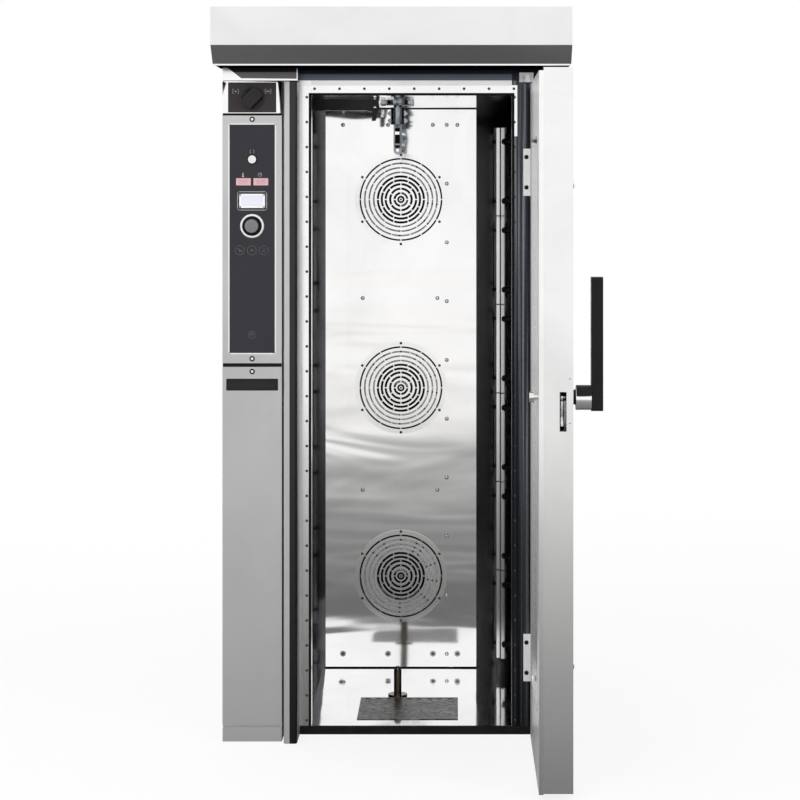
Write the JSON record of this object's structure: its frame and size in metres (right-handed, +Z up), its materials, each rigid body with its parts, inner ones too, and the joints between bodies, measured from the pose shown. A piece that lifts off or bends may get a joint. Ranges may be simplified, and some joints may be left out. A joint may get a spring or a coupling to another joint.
{
  "type": "rotating rack oven",
  "caption": "Tall stainless rotating rack oven with a windowed door standing open, a control column, a canopy hood, rear fans and a rack drive hook.",
  "frame": {"origin": "on the rack's axis of rotation at floor level", "axes": "+X to the right seen from the front, +Y to the back, +Z up"},
  "size_m": [1.088, 1.9915, 2.196],
  "materials": {
    "satin_steel": "satin brushed stainless steel sheet",
    "polished_steel": "polished stainless steel sheet of the cavity",
    "dark_steel": "dark grey coated sheet",
    "black_enamel": "black enamelled steel",
    "bright_metal": "bright plated metal",
    "black_plastic": "black moulded plastic",
    "lever_metal": "black coated cast lever with a bright hub",
    "grey_plastic": "grey moulded plastic",
    "panel_glass": "charcoal gloss control glass",
    "display": "pale lit display windows",
    "door_glass": "smoked heat resistant glass",
    "seal_rubber": "dark silicone seal",
    "mineral_wool": "mineral wool board",
    "motor_paint": "grey blue machine paint",
    "wheel_steel": "heat darkened steel",
    "brass_fitting": "machined brass"
  },
  "bodies": {
    "cabinet": {"base_pan": "satin_steel", "floor_panel": "polished_steel", "threshold": "black_enamel", "floor_cover": "dark_steel", "pivot_pin": "bright_metal", "left_wall": "polished_steel", "right_wall": "polished_steel", "rear_wall": "polished_steel", "rear_strip": "polished_steel", "ceiling_panel": "polished_steel", "left_duct_panel": "polished_steel", "right_duct_panel": "polished_steel", "plenum_back": "polished_steel", "side_insulation": "mineral_wool", "rear_insulation": "mineral_wool", "roof_insulation": "mineral_wool", "left_side_panel": "satin_steel", "right_side_panel": "satin_steel", "roof_panel": "satin_steel", "rear_cover": "satin_steel", "left_jamb": "satin_steel", "right_jamb": "satin_steel", "door_header": "dark_steel", "gasket_retainer": "polished_steel", "door_gasket": "seal_rubber", "column_body": "satin_steel", "column_post": "satin_steel", "top_fascia": "polished_steel", "switch_panel": "black_plastic", "control_frame": "satin_steel", "control_glass": "panel_glass", "display_unit": "display", "lower_panel": "satin_steel", "grip_recess": "black_plastic", "kick_plate": "satin_steel", "encoder_ring": "bright_metal", "canopy_shell": "satin_steel", "canopy_band": "dark_steel", "hood_grille": "dark_steel", "duct_collar": "satin_steel", "steam_flue": "polished_steel", "rear_fittings": "brass_fitting", "gearmotor": "motor_paint", "shaft_bearing": "bright_metal", "stop_arm": "black_enamel", "fan_guards": "polished_steel", "heating_rings": "wheel_steel", "fan_motors": "motor_paint", "hinge_brackets": "satin_steel"},
    "spindle": {"rack_spindle": "bright_metal"},
    "fan_low": {"fan_wheel_low": "wheel_steel"},
    "fan_mid": {"fan_wheel_mid": "wheel_steel"},
    "fan_top": {"fan_wheel_top": "wheel_steel"},
    "door": {"door_shell": "satin_steel", "door_glazing": "door_glass"},
    "handle": {"lever_handle": "lever_metal"},
    "release": {"release_knob": "bright_metal"},
    "switch": {"main_switch_knob": "black_plastic"},
    "start": {"start_button": "bright_metal"},
    "encoder": {"encoder_knob": "grey_plastic"}
  },
  "joints": [
    {"name": "door_swing", "type": "hinge", "parent": "cabinet", "child": "door", "pos_m": [0.455, -0.491, 0.95], "axis": [0, 0, 1], "range_deg": [-90, 30]},
    {"name": "handle_turn", "type": "hinge", "parent": "door", "child": "handle", "pos_m": [0.55, -1.156, 1.06], "axis": [1, 0, 0], "range_deg": [-90, 0]},
    {"name": "release_push", "type": "slide", "parent": "door", "child": "release", "axis": [1, 0, 0], "range_m": [0, 0.01], "stiffness_N_per_m": 500},
    {"name": "rack_spin", "type": "hinge", "parent": "cabinet", "child": "spindle", "pos_m": [0, 0, 1.85], "axis": [0, 0, 1], "continuous": true},
    {"name": "fan_low_spin", "type": "hinge", "parent": "cabinet", "child": "fan_low", "pos_m": [0, 0.5, 0.333], "axis": [0, 1, 0], "continuous": true},
    {"name": "fan_mid_spin", "type": "hinge", "parent": "cabinet", "child": "fan_mid", "pos_m": [0, 0.5, 0.963], "axis": [0, 1, 0], "continuous": true},
    {"name": "fan_top_spin", "type": "hinge", "parent": "cabinet", "child": "fan_top", "pos_m": [0, 0.5, 1.593], "axis": [0, 1, 0], "continuous": true},
    {"name": "switch_turn", "type": "hinge", "parent": "cabinet", "child": "switch", "pos_m": [-0.413, -0.528, 1.884], "axis": [0, 1, 0], "range_deg": [0, 90]},
    {"name": "start_push", "type": "slide", "parent": "cabinet", "child": "start", "axis": [0, 1, 0], "range_m": [0, 0.0025], "stiffness_N_per_m": 800},
    {"name": "encoder_turn", "type": "hinge", "parent": "cabinet", "child": "encoder", "pos_m": [-0.413, -0.528, 1.51], "axis": [0, 1, 0], "continuous": true}
  ]
}
